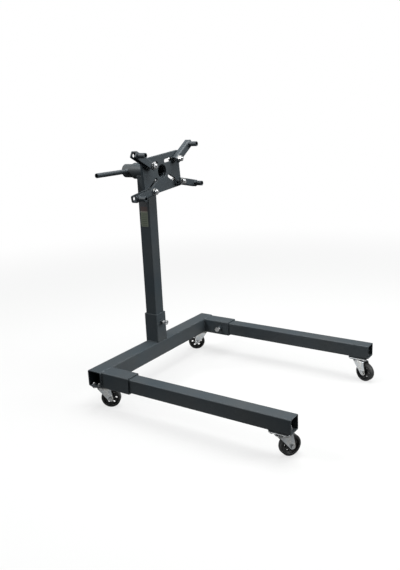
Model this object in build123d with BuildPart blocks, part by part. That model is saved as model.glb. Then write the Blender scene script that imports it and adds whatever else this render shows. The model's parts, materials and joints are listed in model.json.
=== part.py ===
from build123d import *
from math import cos, hypot, radians, sin
import os

os.makedirs("parts", exist_ok=True)

# Base: a crossbar at the back, two legs in welded sockets, and a mast in a welded socket.
# The origin is on the floor under the middle of the stand, and the legs point towards -Y.
beam_length = 730
beam_size = 60
beam_wall = 4
beam_corner = 5
beam_y = 341.9
socket_wall = 4.5
socket_inset = 5
leg_socket_length = 120
mast_socket_height = 114
tube_size = 50
tube_wall = 3
tube_corner = 4
leg_reach = 758
castor_height = 88

# Head: a turning spindle in a fixed housing, with a face plate in front and a bar behind.
head_height = 812
head_turn = 5
housing_radius = 30
housing_front = 55
housing_rear = 50
spindle_radius = 25
spindle_wall = 3
spindle_rear = 95
running_gap = 0.05
plate_front = 77
plate_thickness = 10
plate_width = 220
plate_above = 60
plate_below = 73
spindle_recess = 8
collar_radius = 29
handle_radius = 8.6
handle_wall = 2.3
handle_length = 376
handle_behind = 72

# Face plate slots: level ones above the spindle, sloping ones below it.
slot_width = 14
upper_slot_height = 33
upper_slot_inner = 26
upper_slot_outer = 88
lower_slot_angle = 32
lower_slot_inner = 46
lower_slot_outer = 107

# Arms: channels that swing on a bolt in a slot and end in a bushing for the engine's bolt.
arm_width = 25
arm_depth = 25
arm_sheet = 4
arm_corner = 4
arm_heel = 15
arm_reach = 88.5
arm_toe = 13
arm_gap = 0.1
bushing_radius = 9
bushing_bore = 6.1
bushing_front = 56
back_hole_radius = 6.5
arm_bolt_radius = 6
arm_bolt_flats = 19
arm_bolt_head = 7.5
arm_nut_height = 10
arm_bolt_tail = 4.5
washer_radius = 12
washer_height = 2.5

# Clamp bolts, one in each socket, through a welded nut.
clamp_along = 79
clamp_radius = 5
clamp_flats = 17
clamp_nut_height = 8
clamp_stand_off = 12
clamp_head_height = 7

# Castors.
castor_from_leg_end = 44
castor_plate_length = 68
castor_plate_width = 46
castor_plate_thickness = 3
castor_plate_corner = 6
castor_bolt_along = 50
castor_bolt_across = 25
castor_bolt_radius = 4
castor_bolt_flats = 13
castor_bolt_head = 5.3
castor_nut_height = 6.5
castor_bolt_tail = 2.5
bolt_clearance = 0.2
race_radius = 18
race_height = 6
race_gap = 0.4
kingpin_radius = 5
kingpin_head_radius = 9
kingpin_head_height = 2.5
fork_sheet = 2.5
fork_inside = 28
fork_crown_radius = 21
fork_root_ahead = 17
fork_root_behind = 32
fork_boss_radius = 10
castor_trail = 30
wheel_radius = 35
wheel_width = 22
wheel_hub_width = 26
wheel_rim_radius = 26
wheel_web_width = 8
wheel_hub_radius = 11
web_hole_radius = 4.6
web_hole_count = 6
axle_radius = 4

# Rating label on the mast.
label_width = 36
label_height = 98
label_thickness = 0.5
label_top = 702

beam_bottom = castor_height
beam_top = beam_bottom + beam_size
beam_mid = beam_bottom + beam_size / 2
beam_front = beam_y - beam_size / 2
track = beam_length / 2 - socket_inset - beam_size / 2
leg_bottom = beam_mid - tube_size / 2
leg_length = leg_reach - beam_size / 2
leg_end = beam_y - leg_reach
front_castor_y = leg_end + castor_from_leg_end
pad_thickness = leg_bottom - castor_height
tube_play = (beam_size - 2 * socket_wall - tube_size) / 2
up = (0, 0, 1)
forward = (0, -1, 0)


def facing_forward(x, y, z, turn=0):
    # A plane seen from the front: local X is level when turn is 0, local Z points to -Y.
    across = (cos(radians(turn)), 0, sin(radians(turn)))
    return Plane(origin=(x, y, z), x_dir=across, z_dir=forward)


def head_plane(ahead):
    # Turned with the face plate, this far in front of the crossbar's centre line.
    return facing_forward(0, beam_y - ahead, head_height, head_turn)


def draw_square_tube(size, wall, corner):
    RectangleRounded(size, size, corner)
    RectangleRounded(size - 2 * wall, size - 2 * wall, corner - wall, mode=Mode.SUBTRACT)


def draw_ring(outer, inner):
    Circle(outer)
    Circle(inner, mode=Mode.SUBTRACT)


def draw_hexagon(flats):
    RegularPolygon(flats / 2, 6, major_radius=False)


def save(piece, name):
    piece.part.label = name
    export_step(piece.part, f"parts/{name}.step")


# Where the clamp bolts enter, with the plane's Z pointing out of the socket's face.
clamp_side_x = track - beam_size / 2
clamp_side_y = beam_front - clamp_along
clamp_planes = {
    "mast": facing_forward(0, beam_front, beam_top + clamp_along),
    "left": Plane(origin=(-clamp_side_x, clamp_side_y, beam_mid), x_dir=up, z_dir=(1, 0, 0)),
    "right": Plane(origin=(clamp_side_x, clamp_side_y, beam_mid), x_dir=up, z_dir=(-1, 0, 0)),
}
clamp_hole_radius = clamp_radius + bolt_clearance

# Crossbar, with bolt holes for the two rear castors in its floor.
castor_hole_radius = castor_bolt_radius + bolt_clearance
with BuildPart() as crossbar:
    beam_end = Plane(origin=(-beam_length / 2, beam_y, beam_mid), x_dir=(0, 1, 0), z_dir=(1, 0, 0))
    with BuildSketch(beam_end):
        draw_square_tube(beam_size, beam_wall, beam_corner)
    extrude(amount=beam_length)
    with BuildSketch(Plane.XY.offset(beam_bottom)):
        with Locations((-track, beam_y), (track, beam_y)):
            with GridLocations(castor_bolt_along, castor_bolt_across, 2, 2):
                Circle(castor_hole_radius)
    extrude(amount=beam_wall, mode=Mode.SUBTRACT)
save(crossbar, "crossbar")

# Mast socket, standing on the middle of the crossbar.
with BuildPart() as mast_socket:
    with BuildSketch(Plane(origin=(0, beam_y, beam_top))):
        draw_square_tube(beam_size, socket_wall, beam_corner)
    extrude(amount=mast_socket_height)
    with BuildSketch(clamp_planes["mast"]):
        Circle(clamp_hole_radius)
    extrude(amount=-socket_wall, mode=Mode.SUBTRACT)
save(mast_socket, "mast_socket")

# Leg sockets and legs. Each leg stops against the crossbar and has castor holes near its end.
for side, x in {"left": -track, "right": track}.items():
    socket_plane = facing_forward(x, beam_front, beam_mid)
    with BuildPart() as leg_socket:
        with BuildSketch(socket_plane):
            draw_square_tube(beam_size, socket_wall, beam_corner)
        extrude(amount=leg_socket_length)
        with BuildSketch(clamp_planes[side]):
            Circle(clamp_hole_radius)
        extrude(amount=-socket_wall, mode=Mode.SUBTRACT)
    save(leg_socket, f"leg_socket_{side}")

    with BuildPart() as leg:
        with BuildSketch(socket_plane):
            draw_square_tube(tube_size, tube_wall, tube_corner)
        extrude(amount=leg_length)
        with BuildSketch(Plane(origin=(x, front_castor_y, leg_bottom))):
            with GridLocations(castor_bolt_across, castor_bolt_along, 2, 2):
                Circle(castor_hole_radius)
        extrude(amount=tube_wall, mode=Mode.SUBTRACT)
    save(leg, f"leg_{side}")

    # A pad under the leg makes up the difference between the leg's and the crossbar's height.
    with BuildPart() as castor_pad:
        with BuildSketch(Plane(origin=(x, front_castor_y, castor_height))):
            RectangleRounded(castor_plate_width, castor_plate_length, castor_plate_corner)
            with GridLocations(castor_bolt_across, castor_bolt_along, 2, 2):
                Circle(castor_hole_radius, mode=Mode.SUBTRACT)
        extrude(amount=pad_thickness)
    save(castor_pad, f"castor_pad_{side}")

# Mast, cut at the top to fit round the housing that is welded on it.
with BuildPart() as mast:
    with BuildSketch(Plane(origin=(0, beam_y, beam_top))):
        draw_square_tube(tube_size, tube_wall, tube_corner)
    extrude(amount=head_height - beam_top)
    with BuildSketch(facing_forward(0, beam_y, head_height)):
        Circle(housing_radius)
    extrude(amount=tube_size, both=True, mode=Mode.SUBTRACT)
save(mast, "mast")

with BuildPart() as mast_label:
    label_middle = label_top - label_height / 2
    label_corner = 2
    label_plane = Plane(origin=(-tube_size / 2, beam_y, label_middle), x_dir=forward, z_dir=(-1, 0, 0))
    with BuildSketch(label_plane):
        RectangleRounded(label_width, label_height, label_corner)
    extrude(amount=label_thickness)
save(mast_label, "mast_label")

# Weld nuts and clamp bolts. Each bolt's tip bears on the tube inside the socket.
clamp_tip = socket_wall + tube_play
clamp_neck = clamp_nut_height + clamp_stand_off
with BuildPart() as clamp_nuts:
    for plane in clamp_planes.values():
        with BuildSketch(plane):
            draw_hexagon(clamp_flats)
            Circle(clamp_radius, mode=Mode.SUBTRACT)
        extrude(amount=clamp_nut_height)
save(clamp_nuts, "clamp_nuts")

with BuildPart() as clamp_bolts:
    for plane in clamp_planes.values():
        with BuildSketch(plane.offset(-clamp_tip)):
            Circle(clamp_radius)
        extrude(amount=clamp_tip + clamp_neck)
        with BuildSketch(plane.offset(clamp_neck)):
            draw_hexagon(clamp_flats)
        extrude(amount=clamp_head_height)
save(clamp_bolts, "clamp_bolts")

# Housing on the mast's top, and the spindle that turns in it.
with BuildPart() as head_housing:
    with BuildSketch(head_plane(-housing_rear)):
        draw_ring(housing_radius, spindle_radius + running_gap)
    extrude(amount=housing_front + housing_rear)
save(head_housing, "head_housing")

spindle_front = plate_front - spindle_recess
with BuildPart() as spindle:
    with BuildSketch(head_plane(-spindle_rear)):
        draw_ring(spindle_radius, spindle_radius - spindle_wall)
    extrude(amount=spindle_front + spindle_rear)
    with BuildSketch(Plane(origin=(0, beam_y + handle_behind, head_height), z_dir=(1, 0, 0))):
        Circle(handle_radius)
    extrude(amount=spindle_radius + 1, both=True, mode=Mode.SUBTRACT)
save(spindle, "spindle")

plate_back = plate_front - plate_thickness
with BuildPart() as thrust_collar:
    with BuildSketch(head_plane(housing_front + 1)):
        draw_ring(collar_radius, spindle_radius)
    extrude(amount=plate_back - housing_front - 1)
save(thrust_collar, "thrust_collar")

with BuildPart() as handle_bar:
    handle_end = Plane(
        origin=(-handle_length / 2, beam_y + handle_behind, head_height), z_dir=(1, 0, 0)
    )
    with BuildSketch(handle_end):
        draw_ring(handle_radius, handle_radius - handle_wall)
    extrude(amount=handle_length)
save(handle_bar, "handle_bar")

# Face plate, with the spindle welded into its bore.
plate_corner = 4
upper_slot_middle = (upper_slot_inner + upper_slot_outer) / 2
lower_slot_middle = (lower_slot_inner + lower_slot_outer) / 2
slot_right = cos(radians(lower_slot_angle))
slot_down = sin(radians(lower_slot_angle))
lower_slot_x = lower_slot_middle * slot_right
lower_slot_y = -lower_slot_middle * slot_down
with BuildPart() as face_plate:
    with BuildSketch(head_plane(plate_back)):
        with Locations((0, (plate_above - plate_below) / 2)):
            RectangleRounded(plate_width, plate_above + plate_below, plate_corner)
        Circle(spindle_radius, mode=Mode.SUBTRACT)
        for sign in (-1, 1):
            with Locations((sign * upper_slot_middle, upper_slot_height)):
                SlotCenterToCenter(upper_slot_outer - upper_slot_inner, slot_width, mode=Mode.SUBTRACT)
            with Locations((sign * lower_slot_x, lower_slot_y)):
                SlotCenterToCenter(
                    lower_slot_outer - lower_slot_inner,
                    slot_width,
                    rotation=-sign * lower_slot_angle,
                    mode=Mode.SUBTRACT,
                )
    extrude(amount=plate_thickness)
save(face_plate, "face_plate")

# Each arm: where its bolt is on the face plate, which way it points in degrees from the
# plate's right, and which side its web is on. The channel opens towards the other arm of
# its side.
upper_bolt_out = 79
left_out = 106
right_out = 98.5
arms = {
    "upper_left": (-upper_bolt_out, upper_slot_height, 147, -1),
    "upper_right": (upper_bolt_out, upper_slot_height, 28, 1),
    "lower_left": (-left_out * slot_right, -left_out * slot_down, 184, 1),
    "lower_right": (right_out * slot_right, -right_out * slot_down, -16, -1),
}
arm_length = arm_heel + arm_reach + arm_toe
arm_middle = arm_length / 2 - arm_heel
bushing_back = arm_gap + arm_depth - arm_sheet
for name, (u, v, angle, web_side) in arms.items():
    pivot = head_plane(plate_front).from_local_coords((u, v, 0))
    base = facing_forward(pivot.X, pivot.Y, pivot.Z, head_turn + angle)
    with BuildPart() as arm:
        with BuildSketch(base.offset(arm_gap)):
            with Locations((arm_middle, 0)):
                RectangleRounded(arm_length, arm_width, arm_corner)
            Circle(arm_bolt_radius + running_gap, mode=Mode.SUBTRACT)
            with Locations((arm_reach, 0)):
                Circle(back_hole_radius, mode=Mode.SUBTRACT)
        extrude(amount=arm_depth)
        with BuildSketch(base.offset(arm_gap + arm_sheet)):
            with Locations((arm_middle, -web_side * arm_sheet)):
                Rectangle(arm_length + 2 * arm_sheet, arm_width)
        extrude(amount=arm_depth - 2 * arm_sheet, mode=Mode.SUBTRACT)
        with BuildSketch(base.offset(bushing_back)):
            with Locations((arm_reach, 0)):
                Circle(bushing_radius)
        extrude(amount=arm_sheet, mode=Mode.SUBTRACT)
    save(arm, f"arm_{name}")

    # The bushing stands on the front flange, in line with a hole in the back flange.
    with BuildPart() as bushing:
        with BuildSketch(base.offset(bushing_back)):
            with Locations((arm_reach, 0)):
                draw_ring(bushing_radius, bushing_bore)
        extrude(amount=bushing_front - bushing_back)
    save(bushing, f"bushing_{name}")

    # The bolt's flanged head is behind the plate and its flanged nut is in front of the arm.
    nut_start = 2 * arm_gap + arm_depth
    bolt_front = nut_start + washer_height + arm_nut_height + arm_bolt_tail
    bolt_back = plate_thickness + arm_gap
    with BuildPart() as arm_bolt:
        with BuildSketch(base.offset(-bolt_back)):
            Circle(arm_bolt_radius)
        extrude(amount=bolt_back + bolt_front)
        with BuildSketch(base.offset(-bolt_back)):
            Circle(washer_radius)
        extrude(amount=-washer_height)
        with BuildSketch(base.offset(-bolt_back - washer_height)):
            draw_hexagon(arm_bolt_flats)
        extrude(amount=-arm_bolt_head)
    save(arm_bolt, f"arm_bolt_{name}")

    with BuildPart() as arm_nut:
        with BuildSketch(base.offset(nut_start)):
            draw_ring(washer_radius, arm_bolt_radius)
        extrude(amount=washer_height)
        with BuildSketch(base.offset(nut_start + washer_height)):
            draw_hexagon(arm_bolt_flats)
            Circle(arm_bolt_radius, mode=Mode.SUBTRACT)
        extrude(amount=arm_nut_height)
    save(arm_nut, f"arm_nut_{name}")

# Castors: place of the swivel, whether the plate lies along the crossbar, and the heading
# of the wheel behind its swivel, in degrees from +X.
castors = {
    "rear_left": (-track, beam_y, True, 300),
    "rear_right": (track, beam_y, True, 130),
    "front_left": (-track, front_castor_y, False, 330),
    "front_right": (track, front_castor_y, False, 252),
}
race_bottom = castor_height - castor_plate_thickness - race_height
crown_top = race_bottom - race_gap
crown_bottom = crown_top - fork_sheet
kingpin_head_top = crown_bottom - race_gap
kingpin_length = castor_height - kingpin_head_top
fork_outside = fork_inside + 2 * fork_sheet
fork_root = fork_root_ahead + fork_root_behind
fork_root_middle = fork_root / 2 - fork_root_ahead
web_hole_out = (wheel_hub_radius + wheel_rim_radius) / 2
for name, (x, y, along_beam, heading) in castors.items():
    trail_x = cos(radians(heading))
    trail_y = sin(radians(heading))
    below = Plane(origin=(x, y, castor_height), x_dir=(1, 0, 0) if along_beam else (0, 1, 0), z_dir=(0, 0, -1))
    # Seen along the axle: local X is the trail and local Y the height above the floor.
    side_view = Plane(origin=(x, y, 0), x_dir=(trail_x, trail_y, 0), z_dir=(trail_y, -trail_x, 0))
    axle_spot = (castor_trail, wheel_radius)

    with BuildPart() as castor_plate:
        with BuildSketch(below):
            RectangleRounded(castor_plate_length, castor_plate_width, castor_plate_corner)
            with GridLocations(castor_bolt_along, castor_bolt_across, 2, 2):
                Circle(castor_hole_radius, mode=Mode.SUBTRACT)
        extrude(amount=castor_plate_thickness)
        with BuildSketch(below.offset(castor_plate_thickness)):
            Circle(race_radius)
        extrude(amount=race_height, taper=8)
        with BuildSketch(below):
            Circle(kingpin_radius)
        extrude(amount=castor_plate_thickness + race_height, mode=Mode.SUBTRACT)
    save(castor_plate, f"castor_{name}_plate")

    with BuildPart() as kingpin:
        with BuildSketch(below):
            Circle(kingpin_radius)
        extrude(amount=kingpin_length)
        with BuildSketch(below.offset(kingpin_length)):
            Circle(kingpin_head_radius)
        extrude(amount=kingpin_head_height, taper=20)
    save(kingpin, f"castor_{name}_kingpin")

    with BuildPart() as fork:
        for side in (-1, 1):
            with BuildSketch(side_view.offset(side * fork_inside / 2)):
                with Locations(axle_spot):
                    Circle(fork_boss_radius)
                with Locations((fork_root_middle, crown_top - fork_sheet / 2)):
                    Rectangle(fork_root, fork_sheet)
                make_hull()
                with Locations(axle_spot):
                    Circle(axle_radius, mode=Mode.SUBTRACT)
            extrude(amount=side * fork_sheet)
        with BuildSketch(Plane(origin=(x, y, crown_bottom), x_dir=(trail_x, trail_y, 0))):
            Circle(fork_crown_radius)
            with Locations((fork_root_middle, 0)):
                Rectangle(fork_root, fork_outside)
            Circle(kingpin_radius + running_gap, mode=Mode.SUBTRACT)
        extrude(amount=fork_sheet)
    save(fork, f"castor_{name}_fork")

    with BuildPart() as wheel:
        with BuildSketch(side_view):
            with Locations(axle_spot):
                draw_ring(wheel_radius, wheel_rim_radius)
        extrude(amount=wheel_width / 2, both=True)
        tread_edges = wheel.edges().filter_by(GeomType.CIRCLE).group_by(SortBy.RADIUS)[-1]
        fillet(tread_edges, radius=4)
        with BuildSketch(side_view):
            with Locations(axle_spot):
                Circle(wheel_rim_radius)
        extrude(amount=wheel_web_width / 2, both=True)
        with BuildSketch(side_view):
            with Locations(axle_spot):
                Circle(wheel_hub_radius)
        extrude(amount=wheel_hub_width / 2, both=True)
        with BuildSketch(side_view):
            with Locations(axle_spot):
                Circle(axle_radius + running_gap)
                with PolarLocations(web_hole_out, web_hole_count):
                    Circle(web_hole_radius)
        extrude(amount=wheel_width, both=True, mode=Mode.SUBTRACT)
    save(wheel, f"castor_{name}_wheel")

    axle_grip = fork_outside / 2
    with BuildPart() as axle:
        with BuildSketch(side_view.offset(-axle_grip - castor_nut_height - castor_bolt_tail)):
            with Locations(axle_spot):
                Circle(axle_radius)
        extrude(amount=2 * axle_grip + castor_nut_height + castor_bolt_tail)
        with BuildSketch(side_view.offset(axle_grip)):
            with Locations(axle_spot):
                draw_hexagon(castor_bolt_flats)
        extrude(amount=castor_bolt_head)
    save(axle, f"castor_{name}_axle")

    with BuildPart() as axle_nut:
        with BuildSketch(side_view.offset(-axle_grip)):
            with Locations(axle_spot):
                draw_hexagon(castor_bolt_flats)
                Circle(axle_radius, mode=Mode.SUBTRACT)
        extrude(amount=-castor_nut_height)
    save(axle_nut, f"castor_{name}_axle_nut")

# The sixteen castor bolts come up from below and their nuts sit on the tubes' floors.
castor_floors = {
    "rear_left": (castor_bolt_along, castor_bolt_across, beam_bottom + beam_wall),
    "rear_right": (castor_bolt_along, castor_bolt_across, beam_bottom + beam_wall),
    "front_left": (castor_bolt_across, castor_bolt_along, leg_bottom + tube_wall),
    "front_right": (castor_bolt_across, castor_bolt_along, leg_bottom + tube_wall),
}
castor_bolt_seat = castor_height - castor_plate_thickness
with BuildPart() as castor_bolts:
    for name, (pitch_x, pitch_y, floor) in castor_floors.items():
        x, y = castors[name][:2]
        with BuildSketch(Plane(origin=(x, y, castor_bolt_seat))):
            with GridLocations(pitch_x, pitch_y, 2, 2):
                Circle(castor_bolt_radius)
        extrude(amount=floor - castor_bolt_seat + castor_nut_height + castor_bolt_tail)
        with BuildSketch(Plane(origin=(x, y, castor_bolt_seat))):
            with GridLocations(pitch_x, pitch_y, 2, 2):
                draw_hexagon(castor_bolt_flats)
        extrude(amount=-castor_bolt_head)
save(castor_bolts, "castor_bolts")

with BuildPart() as castor_nuts:
    for name, (pitch_x, pitch_y, floor) in castor_floors.items():
        x, y = castors[name][:2]
        with BuildSketch(Plane(origin=(x, y, floor))):
            with GridLocations(pitch_x, pitch_y, 2, 2):
                draw_hexagon(castor_bolt_flats)
                Circle(castor_bolt_radius, mode=Mode.SUBTRACT)
        extrude(amount=castor_nut_height)
save(castor_nuts, "castor_nuts")
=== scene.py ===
import json
import math
import random
from functools import partial

import bmesh
import bpy
from mathutils import Matrix, Vector
from mathutils.geometry import convex_hull_2d, tessellate_polygon


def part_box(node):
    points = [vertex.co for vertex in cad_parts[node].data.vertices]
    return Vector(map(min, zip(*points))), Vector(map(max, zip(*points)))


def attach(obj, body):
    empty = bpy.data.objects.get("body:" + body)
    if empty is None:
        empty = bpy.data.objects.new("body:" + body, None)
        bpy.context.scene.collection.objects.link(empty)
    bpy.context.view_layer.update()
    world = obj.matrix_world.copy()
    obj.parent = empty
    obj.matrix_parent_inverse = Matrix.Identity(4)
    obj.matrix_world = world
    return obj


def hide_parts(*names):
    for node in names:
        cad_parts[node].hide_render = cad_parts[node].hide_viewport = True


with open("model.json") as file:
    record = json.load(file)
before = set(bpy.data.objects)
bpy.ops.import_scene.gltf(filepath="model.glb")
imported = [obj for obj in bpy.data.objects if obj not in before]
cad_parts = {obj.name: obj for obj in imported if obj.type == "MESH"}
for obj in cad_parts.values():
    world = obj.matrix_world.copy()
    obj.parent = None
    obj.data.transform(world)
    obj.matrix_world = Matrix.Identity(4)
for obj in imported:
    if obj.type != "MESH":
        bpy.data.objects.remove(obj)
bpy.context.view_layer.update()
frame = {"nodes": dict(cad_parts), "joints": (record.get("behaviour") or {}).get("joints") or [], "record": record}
mm = 0.001
unevenHand = random.Random(11)  # hand welding is never quite even
joints = {joint["name"]: joint for joint in frame["joints"]}
bores = {mount["name"]: mount for mount in frame["record"]["mounts"]}
paintedAs = {part["node"]: part["material_slot"] for part in frame["record"]["subparts"]}


# Finishes

def fromHex(code):
    # an sRGB hex colour as linear RGBA
    parts = [int(code[i:i + 2], 16) / 255 for i in (1, 3, 5)]
    return [c / 12.92 if c <= 0.04045 else ((c + 0.055) / 1.055) ** 2.4 for c in parts] + [1.0]


def feed(node, inputs):
    # inputs are numbers, colours, sockets to link from, or nodes, which give their first output
    for key, value in inputs.items():
        if isinstance(value, bpy.types.Node):
            value = next(out for out in value.outputs if out.enabled)
        if isinstance(value, bpy.types.NodeSocket):
            node.id_data.links.new(value, node.inputs[key])
        else:
            node.inputs[key].default_value = value


def addNode(tree, kind, inputs, stops=(), **settings):
    # stops are a colour ramp's positions and hex colours, from low to high
    node = tree.nodes.new("ShaderNode" + kind)
    for key, value in settings.items():
        setattr(node, key, value)
    for i, (position, colour) in enumerate(stops):
        elements = node.color_ramp.elements
        stop = elements[i] if i < len(elements) else elements.new(position)
        stop.position = position
        stop.color = fromHex(colour)
    feed(node, inputs)
    return node


def newFinish(name):
    finish = bpy.data.materials.new(name)
    finish.use_nodes = True
    tree = finish.node_tree
    add = partial(addNode, tree)
    return finish, add, tree.nodes["Principled BSDF"], add("TexCoord", {}).outputs["Object"]


def patternScale(size):
    # a noise texture's scale for features this many millimetres across
    return 1 / (size * mm)


def powderCoatedSteel():
    # Dark blue-grey powder, sprayed and baked: satin, with a soft orange peel that breaks up
    # the highlights, a little thinner and greyer where it drew back from the edges.
    look = {
        "colour": "#383f43",
        "cooler": "#343e44",
        "warmer": "#3d4244",
        "rubbed": "#596065",
        "roughness": 0.5,
        "specular": 0.36,
        "cloudSize": 160,
        "peelSize": 5,  # real peel is 1 to 3 mm, drawn coarser so that it shows
        "peelHeight": 0.09,
        "grainSize": 1.6,
        "chipSize": 7,
    }
    finish, add, shader, place = newFinish("powderCoatedSteel")
    cloud, grain, peel, chips = [
        add("TexNoise", {"Vector": place, "Scale": patternScale(look[size]), "Detail": detail})
        for size, detail in (("cloudSize", 3.0), ("grainSize", 2.0), ("peelSize", 1.5), ("chipSize", 4.0))
    ]
    feed(peel, {"Roughness": 0.45})
    edge = add("Attribute", {}, attribute_name="rubbed").outputs["Fac"]
    tones = ((0.3, look["cooler"]), (0.5, look["colour"]), (0.7, look["warmer"]))
    tone = add("ValToRGB", {"Fac": cloud}, tones)
    speckle = add("MapRange", {
        "Value": grain, "From Min": 0.3, "From Max": 0.7, "To Min": 0.9, "To Max": 1.1,
    })
    grained = add("Mix", {"Factor": 1.0, "A": tone, "B": speckle}, data_type="RGBA", blend_type="MULTIPLY")
    wearPatch = add("MapRange", {
        "Value": chips, "From Min": 0.42, "From Max": 0.62, "To Min": 0.1, "To Max": 0.75,
    })
    wear = add("Math", {0: edge, 1: wearPatch}, operation="MULTIPLY")
    colour = add("Mix", {"Factor": wear, "A": grained, "B": fromHex(look["rubbed"])}, data_type="RGBA")
    gloss = add("MapRange", {
        "Value": cloud, "From Min": 0.3, "From Max": 0.7,
        "To Min": look["roughness"] - 0.05, "To Max": look["roughness"] + 0.06,
    })
    dull = add("Math", {0: gloss, 1: 0.96, 2: 0.02}, operation="MULTIPLY_ADD")
    bump = add("Bump", {"Height": peel, "Distance": look["peelHeight"] * mm, "Strength": 0.8})
    feed(shader, {
        "Base Color": colour, "Roughness": dull, "Normal": bump, "IOR": 1.5,
        "Specular IOR Level": look["specular"],
    })
    return finish


def zincPlatedPressing():
    # Mild steel, pressed and then bright zinc plated: pale, slightly blue, with cloudy patches of
    # gloss and fine drawing lines from the press.
    look = {
        "colour": "#c4c7c9",
        "bluer": "#b6bdc2",
        "yellower": "#c8c7c0",
        "rubbed": "#e2e4e5",
        "roughness": 0.3,
        "cloudSize": 22,
        "spangleSize": 9,
        "lineSize": 1.2,
        "lineStretch": 14,
        "lineDepth": 0.05,
    }
    finish, add, shader, place = newFinish("zincPlatedPressing")
    spangle = add("TexVoronoi", {"Vector": place, "Scale": patternScale(look["spangleSize"])},
                      feature="SMOOTH_F1")
    cloud = add("TexNoise", {"Vector": place, "Scale": patternScale(look["cloudSize"]), "Detail": 4.0})
    stretched = add("Mapping", {"Vector": place, "Scale": (1.0, 1.0, 1 / look["lineStretch"])})
    lines = add("TexNoise", {"Vector": stretched, "Scale": patternScale(look["lineSize"]), "Detail": 2.0})
    edge = add("Attribute", {}, attribute_name="rubbed").outputs["Fac"]
    tones = ((0.32, look["bluer"]), (0.5, look["colour"]), (0.7, look["yellower"]))
    tone = add("ValToRGB", {"Fac": cloud}, tones)
    bright = add("Mix", {"Factor": edge, "A": tone, "B": fromHex(look["rubbed"])}, data_type="RGBA")
    gloss = add("MapRange", {
        "Value": spangle, "From Min": 0.0, "From Max": 0.8,
        "To Min": look["roughness"] - 0.07, "To Max": look["roughness"] + 0.12,
    })
    bump = add("Bump", {"Height": lines, "Distance": look["lineDepth"] * mm, "Strength": 0.5})
    feed(shader, {"Base Color": bright, "Roughness": gloss, "Normal": bump, "Metallic": 1.0})
    return finish


def zincPlatedFastener():
    # Cold-headed steel, barrel plated: duller and rougher than the pressings, with a faint straw
    # tint and small knocks from tumbling in the barrel.
    look = {
        "colour": "#b2b5b8",
        "straw": "#b6b1a4",
        "roughness": 0.33,
        "tintSize": 8,
        "knockSize": 1.8,
        "knockDepth": 0.04,
    }
    finish, add, shader, place = newFinish("zincPlatedFastener")
    tint = add("TexNoise", {"Vector": place, "Scale": patternScale(look["tintSize"]), "Detail": 3.0})
    knocks = add("TexVoronoi", {"Vector": place, "Scale": patternScale(look["knockSize"])})
    tone = add("MapRange", {"Value": tint, "From Min": 0.45, "From Max": 0.7, "To Min": 0.0, "To Max": 0.6})
    colour = add("Mix", {
        "Factor": tone, "A": fromHex(look["colour"]), "B": fromHex(look["straw"]),
    }, data_type="RGBA")
    gloss = add("MapRange", {
        "Value": tint, "From Min": 0.3, "From Max": 0.7,
        "To Min": look["roughness"] - 0.05, "To Max": look["roughness"] + 0.12,
    })
    bump = add("Bump", {"Height": knocks, "Distance": look["knockDepth"] * mm, "Strength": 0.4})
    feed(shader, {"Base Color": colour, "Roughness": gloss, "Normal": bump, "Metallic": 1.0})
    return finish


def mouldedPolypropylene():
    # Injection moulded black polypropylene: a low sheen from the spark-eroded mould, and a dusty,
    # scuffed running surface.
    look = {
        "colour": "#121416",
        "scuffed": "#2c2d2c",
        "roughness": 0.42,
        "grainSize": 1.4,  # the mould's grain is about 0.2 mm, drawn coarser so that it shows
        "grainDepth": 0.06,
        "scuffSize": 6,
        "treadFrom": 33.5,
    }
    finish, add, shader, place = newFinish("mouldedPolypropylene")
    grain, scuff = [
        add("TexNoise", {"Vector": place, "Scale": patternScale(look[size]), "Detail": detail})
        for size, detail in (("grainSize", 2.0), ("scuffSize", 5.0))
    ]
    flat = add("VectorMath", {0: place, 1: (1.0, 1.0, 0.0)}, operation="MULTIPLY")
    fromAxle = add("VectorMath", {0: flat}, operation="LENGTH")
    tread = add("MapRange", {
        "Value": fromAxle, "From Min": (look["treadFrom"] - 1) * mm, "From Max": look["treadFrom"] * mm,
    })
    patch = add("MapRange", {
        "Value": scuff, "From Min": 0.4, "From Max": 0.65, "To Min": 0.15, "To Max": 0.9,
    })
    worn = add("Math", {0: tread, 1: patch}, operation="MULTIPLY")
    colour = add("Mix", {
        "Factor": worn, "A": fromHex(look["colour"]), "B": fromHex(look["scuffed"]),
    }, data_type="RGBA")
    gloss = add("MapRange", {"Value": worn, "To Min": look["roughness"], "To Max": look["roughness"] + 0.3})
    uneven = add("Math", {0: scuff, 1: 0.12, 2: gloss}, operation="MULTIPLY_ADD")
    bump = add("Bump", {"Height": grain, "Distance": look["grainDepth"] * mm, "Strength": 0.5})
    feed(shader, {"Base Color": colour, "Roughness": uneven, "Normal": bump, "IOR": 1.49})
    return finish


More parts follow.
